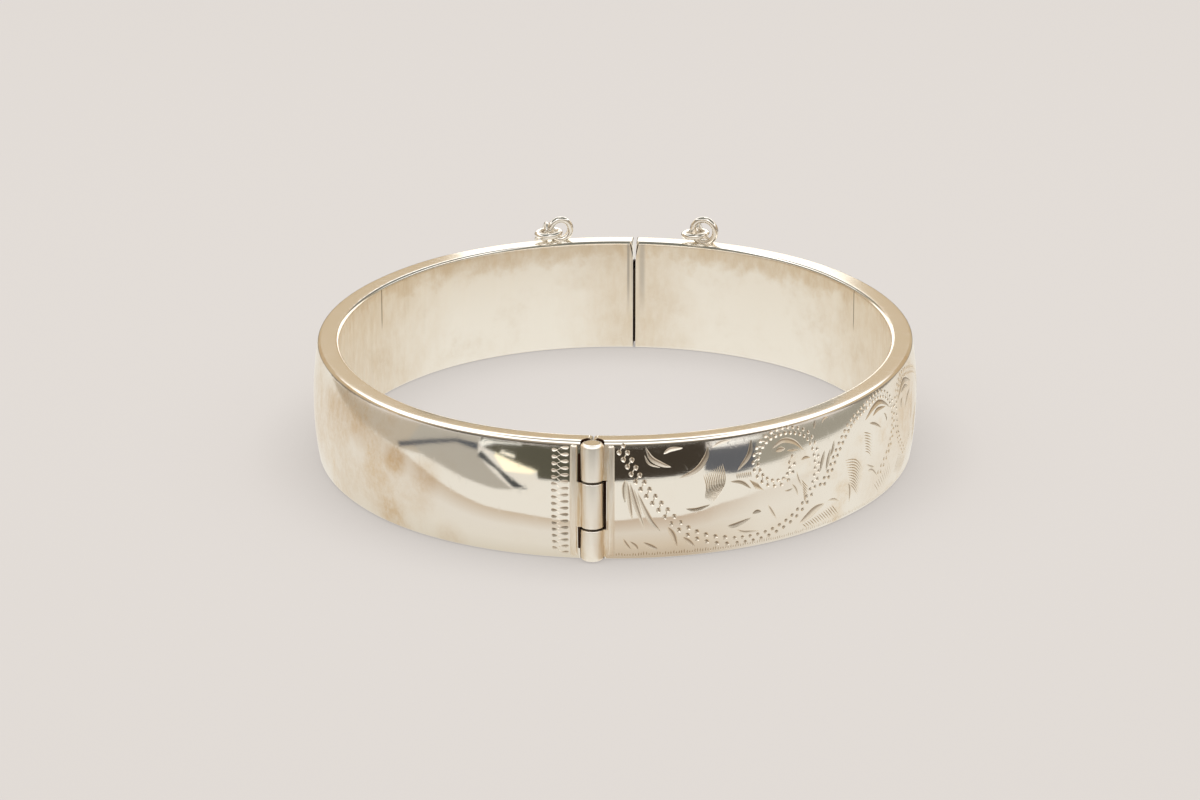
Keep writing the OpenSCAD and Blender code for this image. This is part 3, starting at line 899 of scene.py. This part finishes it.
def planDots(points):
    cuts = []
    line = smoothLine(points, 12)
    total = sum((b - a).length for a, b in zip(line, line[1:]))
    distance = 0.0
    while distance < total - engraving["dotEnd"]:
        spot, along = alongLine(line, distance)
        fine = engraving["dotsShrink"][1] if spot.x > engraving["dotsShrink"][0] else 1.0
        across = Vector((-along.y, along.x)) * engraving["dotSpread"] * fine
        turn = Matrix.Rotation(math.radians(engraving["dotTurn"]), 2)
        turned = turn @ along * engraving["dotLength"] / 2 * fine
        shift = along * engraving["dotShift"]
        pair = [spot + across - shift, spot - across + shift]
        for dot in pair:
            cuts.append(plan([dot - turned, dot, dot + turned], 3, engraving["dotWidth"] * fine, lean=0.3,
                             peak=0.42, deep=engraving["dotDepth"] * fine, up=True))
        if spot.y > engraving["joinAbove"]:
            middle = (pair[0] + pair[1]) / 2 + Vector((0, engraving["joinBow"]))
            cuts.append(plan([pair[0], middle, pair[1]], 3, engraving["join"], deep=0.035))
        distance += (engraving["dotPitch"][0] - engraving["dotPitch"][1] * spot.y) * fine
    return cuts


def planHatch(count, *points):
    first, last = [Vector(p) for p in points[:3]], [Vector(p) for p in points[3:]]
    cuts = []
    for k in range(count):
        line = [a.lerp(b, k / (count - 1)) for a, b in zip(first, last)]
        cuts.append(plan(line, 5, engraving["hatchWidth"], lean=0.3, peak=0.45, deep=0.06))
    return cuts


def flip(cut, about):  # the same cut the other way round
    turned = dict(cut)
    turned["spine"] = [Vector((2 * about - p.x, p.y)) for p in cut["spine"]]
    turned["lean"] = -cut["lean"]
    return turned


def inside(cut, low, high):
    return all(low < p.x < high for p in cut["spine"])


def planEngraving():
    cuts = []
    for points in dotLines.values():
        cuts += planDots(points)
    for drawn in strokes.values():
        cuts += [plan(points, 6, width, lean=engraving["lean"], up=True) for width, *points in drawn]
    for hatch in hatches:
        cuts += planHatch(*hatch)
    about, middle = engraving["flipAt"], faceLength / 2
    near, far = engraving["apart"]
    cuts += [flip(cut, about) for cut in cuts if inside(cut, 2 * about - middle + far, about - near)]
    cuts = [cut for cut in cuts if inside(cut, 0, middle - near)]
    cuts += [flip(cut, middle) for cut in cuts]
    low, high = engraving["tickHigh"]
    for k in range(int((faceLength - 2 * engraving["tickEnd"]) / engraving["tickPitch"])):
        s = engraving["tickEnd"] + k * engraving["tickPitch"]
        top = high + chance.uniform(*engraving["tickVary"])
        lean = chance.uniform(-engraving["tickLean"], engraving["tickLean"])
        line = [(s, low), (s + lean / 2, (low + top) / 2), (s + lean, top)]
        cuts.append(plan(line, 2, engraving["tickWidth"], lean=0.2, peak=0.4, deep=0.06))
    return cuts


def planBorder():
    cuts = []
    lowest, highest = border["clear"][0], oval["bandHeight"] - border["clear"][1]
    a, b = border["inner"][1] - border["joinReach"], border["outer"][1] + border["joinReach"]
    for k in range(border["rows"]):
        z = border["low"] + k * border["pitch"]
        for (deepEnd, thinEnd), up in ((border["inner"], 0.0), (border["outer"], border["step"])):
            if z + up <= highest:
                line = [(deepEnd, z + up + border["bow"]), ((deepEnd + thinEnd) / 2, z + up),
                        (thinEnd, z + up)]
                cuts.append(plan(line, 4, border["width"], lean=0.35, peak=0.3, up=True))
        for up in (border["step"], border["step"] - border["pitch"]):
            if lowest < z + up < highest:
                line = [(a, z), ((a + b) / 2, z + up / 2), (b, z + up)]
                cuts.append(plan(line, 3, border["join"], deep=0.03))
    return cuts + [flip(cut, faceLength / 2) for cut in cuts]


def cellsOf(cut):  # the squares of the face that a cut covers, with room to spare
    cells = set()
    many, (share, more) = engraving["cells"], engraving["cellSpare"]
    reach = cut["width"] * share + more
    for p in cut["spine"]:
        wide, high = [range(int((k - reach) * many), int((k + reach) * many) + 1) for k in p]
        cells |= {(i, j) for i in wide for j in high}
    return cells


def engrave(body, cuts):  # cuts that would meet are made one after the other
    batches = []
    for cut in cuts:
        cells = cellsOf(cut)
        for taken, batch in batches:
            if not taken & cells:
                break
        else:
            taken, batch = set(), []
            batches.append((taken, batch))
        taken |= cells
        batch.append(cut)
    for taken, batch in batches:
        tool = bmesh.new()
        for cut in batch:
            addCut(tool, **cut)
        bmesh.ops.recalc_face_normals(tool, faces=tool.faces)
        mesh = bpy.data.meshes.new("gravers")
        tool.to_mesh(mesh)
        tool.free()
        mesh.materials.append(cutSilver)
        carve(body, putIn("gravers", mesh))
    return len(batches)


polishing = {
    "onBody": 0.005,  # a face this near to the untouched body is part of it
    "sameWay": 0.995,  # how nearly its middle and its corners face the same way
    "cornerWay": 0.93,
    "fullGroove": 0.05,  # from this depth a cut is as dark as it gets
}


def polish(piece, clean):  # gives the smooth surfaces the untouched body's own normals, and cuts flat ones
    weighted = clean.modifiers.new("weighted", "WEIGHTED_NORMAL")
    weighted.keep_sharp = True
    applyAll(clean)
    pure = clean.data
    tree = BVHTree.FromPolygons([v.co for v in pure.vertices], [p.vertices for p in pure.polygons])
    corners = [n.vector.copy() for n in pure.corner_normals]
    normals = [n.vector.copy() for n in piece.data.corner_normals]
    cutPlace = bodyMetals.index(cutSilver)
    for face in piece.data.polygons:
        if face.material_index == cutPlace:
            for corner in face.loop_indices:
                normals[corner] = face.normal.copy()
            continue
        spot, facing, index, distance = tree.find_nearest(face.center)
        if distance > polishing["onBody"] or facing.dot(face.normal) < polishing["sameWay"]:
            continue
        for corner in face.loop_indices:
            vertex = piece.data.vertices[piece.data.loops[corner].vertex_index]
            spot, facing, index, distance = tree.find_nearest(vertex.co)
            if facing.dot(face.normal) < polishing["cornerWay"]:
                continue
            below = pure.polygons[index]
            weights = poly_3d_calc([pure.vertices[v].co for v in below.vertices], spot)
            mixed = Vector()
            for weight, loop in zip(weights, below.loop_indices):
                mixed += corners[loop] * weight
            normals[corner] = mixed.normalized()
    piece.data.normals_split_custom_set(normals)
    groove = piece.data.attributes.new("groove", "FLOAT", "POINT")
    for vertex, mark in zip(piece.data.vertices, groove.data):
        spot, facing, index, distance = tree.find_nearest(vertex.co)
        mark.value = min(distance / polishing["fullGroove"], 1)
    bpy.data.objects.remove(clean)


def smooth(piece):
    useOnly(piece)
    bpy.ops.object.shade_smooth_by_angle(angle=math.radians(30))


def finishHalf(piece, cuts, mirrored):  # engraves and polishes it, and brings it into the frame
    clean = sweptBody("clean")
    smooth(clean)
    batches = engrave(piece, cuts)
    smooth(piece)
    polish(piece, clean)
    piece.data.transform(Matrix.Diagonal((-mm if mirrored else mm, mm, mm, 1)))
    if mirrored:
        piece.data.flip_normals()
    piece.data.update()
    print(piece.name, "has", len(cuts), "cuts in", batches, "rounds and", len(piece.data.polygons), "faces")


plainRooms = [(under, knuckles["middle"][0]), (knuckles["bottom"][1], knuckles["top"][0]),
              (knuckles["middle"][1], over)]
plain = shapedHalf("plain_face", plainRooms, ["middle"], slot=False)
finishHalf(plain, planBorder(), mirrored=True)
engraved = shapedHalf("engraved_face", [(under, over)], ["bottom", "top"], slot=True)
finishHalf(engraved, planEngraving(), mirrored=False)


nodeMetals = {
    "hinge_pin": [rimSilver, gapShadeSilver],
    "clasp_tongue": [tongueSilver],
    "left_jump_ring": [wireSilver],
    "right_jump_ring": [wireSilver],
    "chain_left": [wireSilver],
    "chain_right": [wireSilver],
}
for name, finishes in nodeMetals.items():
    paint(frame["nodes"][name], *finishes)
# the pin's side, where it shows between the knuckles, gets painted shade
for face in frame["nodes"]["hinge_pin"].data.polygons:
    if abs(face.normal.z) < oval["wallFacing"]:  # its side shows between the knuckles, where it is dark
        face.material_index = 1
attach(plain, "plain_side")
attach(engraved, "engraved_side")
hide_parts("plain_half")
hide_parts("engraved_half")

view = {
    "place": (0.0294, -0.4555, 0.1592),
    "target": (-0.00237, 0.01314, 0.0),
    "lens": 149.3,
    "sensor": 36,
    "nearest": 0.01,
}
studio = {
    "floorSize": 3.0,
    "floorColour": (0.15, 0.143, 0.138),
    "floorGlow": (0.41, 0.385, 0.365),  # the surface lets some light through, so shadows stay faint
    "litFloor": (0.84, 0.81, 0.75),
    "litFloorSpan": (0.08, -0.12, 0.08, 0.00006),  # to each side, in front, behind and above the floor
    "cardHeight": (0.0002, 0.00002),  # the first card's, and how much higher each next one lies
    "edgeHeight": 0.0001,
    "farthest": 1.2,  # metres off that a card can lie
    "sky": (1.6, 1.6, 1.6),
    "wallBehind": (0.58, 0.46, 0.31),  # the flat rim shows it
    "roomInFront": (0.42, 0.36, 0.29),
    "horizonInFront": (0.10, 0.09, 0.075),
    "ceiling": (0.40, 0.38, 0.34),
    "inFront": [(0.0, "horizonInFront"), (0.04, "horizonInFront"), (0.14, "roomInFront"),
                (0.3, "roomInFront"),
                (0.5, "sky"), (0.86, "sky"), (0.94, "ceiling")],  # from the horizon up to straight above
    "behind": [(0.0, "wallBehind"), (0.41, "wallBehind"), (0.5, "sky"), (0.86, "sky"), (0.94, "ceiling")],
    "sides": (-0.45, 0.1),  # where the front goes over to the back
    "overhead": {"place": (0.0, 0.05, 0.6), "size": (0.7, 0.6), "power": 6.0, "colour": (1, 0.99, 0.97)},
}
# Cards on the floor that only the silver shows. Each is laid out by where the face shows it,
# in millimetres from the hinge and the lower rim, so the shapes are easy to follow.
cards = [
    ("plain", (0.51, 0.45, 0.37), [(16, 8.2), (20, 8.1), (23, 8.6), (26.2, 9.0), (28.2, 9.4), (30.2, 9.9),
                                   (33.2, 11.2), (33.2, 11.4), (16, 11.4)]),
    ("plain", (0.46, 0.43, 0.38), [(7.2, 6.4), (9, 6.3), (11.4, 6.7), (14.6, 7.6), (17, 8.2), (18.5, 9.2),
                                   (17, 11.3), (10.7, 11.3), (10.7, 9.2)]),
    ("plain", (0.10, 0.095, 0.07), [(0.5, 7.6), (4.9, 7.7), (5.0, 8.3), (9.1, 9.7), (10.6, 10.2),
                                    (10.6, 11.3),
                                    (0.5, 11.3)]),
    ("plain", (1.3, 1.2, 0.9), [(4.9, 8.4), (5.5, 8.1), (8.0, 8.1), (9.1, 9.4), (9.0, 9.7), (7.0, 9.0)]),
    ("plain", (1.2, 1.15, 1.0), [(7.1, 9.4), (8.6, 9.75), (8.4, 10.0), (7.1, 9.7)]),
    ("plain", (0.95, 0.95, 0.9), [(6.5, 10.85), (9, 10.7), (10.4, 10.1), (10.7, 10.5), (10.2, 11.0),
                                  (6.5, 11.0)]),
    ("plain", (0.05, 0.055, 0.06), [(5.8, 6.6), (7.2, 6.6), (8.8, 8.1), (10.8, 9.2), (10.4, 9.7),
                                    (6.5, 6.95)]),
    ("plain", (0.07, 0.08, 0.10), [(10.8, 9.7), (13, 10.1), (16, 9.35), (19.7, 8.2), (20.0, 8.6), (16, 9.75),
                                   (13, 10.5), (10.8, 10.4)]),
    ("engraved", (0.35, 0.33, 0.28), [(14.5, 8.0), (18, 8.2), (21, 8.9), (26, 9.2), (30, 10), (30, 11.3),
                                      (14.5, 11.3)]),
    ("engraved", (0.05, 0.04, 0.03), [(0.5, 7.7), (5, 7.95), (8.5, 8.1), (10.4, 9.0), (10.4, 11.3),
                                      (0.5, 11.3)]),
    ("engraved", (0.12, 0.125, 0.14), [(10.2, 8.3), (13, 7.7), (15, 7.9), (15.4, 10.4), (10.4, 10.4)]),
    ("engraved", (1.0, 1.0, 0.98), [(11, 10.4), (16, 10.7), (16, 11.0), (11, 11.0)]),
]
# Where the faces show the edge of the ground in front: spots on the face, and how far its shade has faded
# there. The tones run from that edge down to the lower rim.
groundEdge = {
    "plain": [(1.2, 3.8, 0), (4, 4.0, 0), (6.4, 4.2, 0), (10, 4.5, 0), (13.8, 5.6, 0), (16.4, 6.7, 0.1),
              (18.6, 7.6, 0.2), (22, 8.3, 0.3), (26, 9.0, 0.4), (30, 9.6, 0.6), (36, 10.6, 1)],
    "engraved": [(1.2, 3.9, 0), (4.4, 4.2, 0), (8, 4.2, 0), (10, 4.5, 0.1), (11.8, 5.0, 0.3),
                 (15.6, 5.6, 0.7),
                 (20, 6.2, 0.8), (24, 6.6, 1)],
    "plainTones": [(0.60, 0.50, 0.39), (0.78, 0.74, 0.68), (0.77, 0.73, 0.66), (0.68, 0.63, 0.54)],
    "engravedTones": [(0.56, 0.45, 0.35), (0.72, 0.66, 0.58), (0.66, 0.57, 0.46), (0.53, 0.44, 0.34)],
    "strips": 12,
}
# Darker ground at the sides and behind, so that the silver has something to show from there too, and cards
# in the air: the rim near the clasp shows a bright one behind it and dark ones above it. Each has a colour,
# a height in millimetres, and corners that may have a height of their own.
otherCards = {
    "ground_behind": ((0.30, 0.26, 0.21), 0.15, [(-420, 90), (-70, 64), (30, 74), (110, 62), (420, 110),
                                                 (420, 700),
                                                 (-420, 700)]),
    "ground_behind_dark": ((0.07, 0.065, 0.06), 0.17, [(-110, 125), (-20, 86), (70, 106), (50, 230),
                                                       (-100, 300)]),
    "ground_left": ((0.26, 0.23, 0.19), 0.15, [(-400, 16), (-78, 16), (-70, 46), (-95, 75), (-400, 80)]),
    "ground_right": ((0.26, 0.23, 0.19), 0.15, [(74, 14), (400, 14), (400, 80), (90, 70), (68, 40)]),
    "behind": ((1.5, 1.45, 1.35), 0, [(-24, 60, 13.5), (26, 60, 13.5), (18, 60, 32), (-18, 60, 32)]),
    "above_middle": ((0.20, 0.20, 0.17), 24, [(-6, 20), (5, 20), (5, 40), (-6, 40)]),
    "above_left": ((0.20, 0.20, 0.17), 24, [(-21, 13), (-9.5, 18), (-9.5, 40), (-21, 34)]),
    "above_right": ((0.20, 0.20, 0.17), 24, [(9.5, 18), (21, 13), (21, 34), (9.5, 40)]),
}


def flatPaint(name, colour, light):  # no shine, and a light of its own
    made = bpy.data.materials.new(name)
    made.use_nodes = True
    values = {"Base Color": (*colour, 1), "Roughness": 1, "Specular IOR Level": 0,
              "Emission Color": (*light, 1), "Emission Strength": 1}
    for label, value in values.items():
        made.node_tree.nodes["Principled BSDF"].inputs[label].default_value = value
    return made


def shownAt(side, s, z, height):  # where on the floor the card lies that the face shows at this spot
    spot = onFace(s, z)
    normal = (onFace(s, z, 1.0) - spot).normalized()
    if side == "plain":
        spot.x, normal.x = -spot.x, -normal.x
    spot *= mm
    ray = (spot - Vector(view["place"])).normalized()
    ray -= 2 * ray.dot(normal) * normal
    far = studio["farthest"]
    if ray.z <= -0.01:  # it comes down to the floor
        far = min((height - spot.z) / ray.z, far)
    return (spot.x + ray.x * far, spot.y + ray.y * far, height)


def layCard(name, corners, colour, faces=None):
    mesh = bpy.data.meshes.new(name)
    mesh.from_pydata(corners, [], faces or [range(len(corners))])
    card = putIn(name, mesh)
    paint(card, flatPaint(name, (0, 0, 0), colour))
    card.visible_camera = card.visible_diffuse = card.visible_shadow = False
    return card


def layShade(side):  # one card whose colour changes smoothly, by rows from the ground's edge to the rim
    tones = [Vector(tone) for tone in groundEdge[side + "Tones"]]
    count, last = groundEdge["strips"], len(tones) - 1
    corners, colours, faces = [], [], []
    wide = len(groundEdge[side])
    for row in range(count + 1):
        share = row / count * last
        n = min(int(share), last - 1)
        tone = tones[n].lerp(tones[n + 1], share - n)
        for k, (s, z, faded) in enumerate(groundEdge[side]):
            corners.append(shownAt(side, s, z * (1 - row / count), studio["edgeHeight"]))
            colours.append(tone.lerp(Vector(studio["litFloor"]), faded))
            if row and k:
                here = row * wide + k
                faces.append((here - wide - 1, here - wide, here, here - 1))
    shade = layCard(side + "_edge_card", corners, (0, 0, 0), faces)
    mark = shade.data.color_attributes.new("tone", "FLOAT_COLOR", "POINT")
    for spot, colour in zip(mark.data, colours):
        spot.color = (*colour, 1)
    tree = shade.data.materials[0].node_tree
    tone = node(tree, "Attribute", {"attribute_name": "tone"})
    tree.links.new(tone.outputs["Color"], tree.nodes["Principled BSDF"].inputs["Emission Color"])


def buildRoom():
    bpy.ops.mesh.primitive_plane_add(size=studio["floorSize"], location=(0, 0, 0))
    floor = fresh("studio_floor")
    paint(floor, flatPaint("floor_card", studio["floorColour"], studio["floorGlow"]))
    lowest, step = studio["cardHeight"]
    for k, (side, colour, spots) in enumerate(cards):
        layCard("card_%02d" % k, [shownAt(side, s, z, lowest + k * step) for s, z in spots], colour)
    wide, near, far, height = studio["litFloorSpan"]
    corners = [(-wide, near, height), (wide, near, height), (wide, far, height), (-wide, far, height)]
    layCard("lit_floor", corners, studio["litFloor"])
    for name, (colour, height, corners) in otherCards.items():
        layCard(name, [Vector((*corner, height)[:3]) * mm for corner in corners], colour)
    for side in ("plain", "engraved"):
        layShade(side)


def ramp(tree, value, stops):
    made = node(tree, "ValToRGB")
    while len(made.color_ramp.elements) < len(stops):
        made.color_ramp.elements.new(0.5)
    for element, (place, name) in zip(made.color_ramp.elements, stops):
        element.position = place
        element.color = (*studio[name], 1)
    tree.links.new(value, made.inputs[0])
    return made.outputs[0]


def buildWorld():
    world = bpy.data.worlds.new("soft_room")
    world.use_nodes = True
    tree = world.node_tree
    split = node(tree, "SeparateXYZ")
    tree.links.new(node(tree, "TexCoord").outputs["Generated"], split.inputs[0])
    side = node(tree, "MapRange", From_Min=studio["sides"][0], From_Max=studio["sides"][1])
    tree.links.new(split.outputs["Y"], side.inputs["Value"])
    inFront, behind = [ramp(tree, split.outputs["Z"], studio[place]) for place in ("inFront", "behind")]
    background = tree.nodes["Background"]
    tree.links.new(blend(tree, side.outputs[0], inFront, behind), background.inputs["Color"])
    background.inputs["Strength"].default_value = 1
    bpy.context.scene.world = world


def aim(thing, place, target):
    thing.location = place
    thing.rotation_euler = (Vector(target) - Vector(place)).to_track_quat("-Z", "Y").to_euler()


def hangLamp(name, place, size, power, colour):
    data = bpy.data.lights.new(name, "AREA")
    data.shape = "RECTANGLE"
    data.size, data.size_y = size
    data.energy = power
    data.color = colour
    lamp = putIn(name, data)
    lamp.visible_glossy = False
    aim(lamp, place, (0, 0, 0))


def setCamera():
    data = bpy.data.cameras.new("photo_view")
    data.lens = view["lens"]
    data.sensor_width = view["sensor"]
    data.clip_start = view["nearest"]
    camera = putIn("photo_view", data)
    aim(camera, view["place"], view["target"])
    bpy.context.scene.camera = camera


buildRoom()
buildWorld()
hangLamp("overhead", **studio["overhead"])
setCamera()
bpy.context.scene.view_settings.view_transform = "Standard"
print("Room, light and camera set")

print("Scene ready")
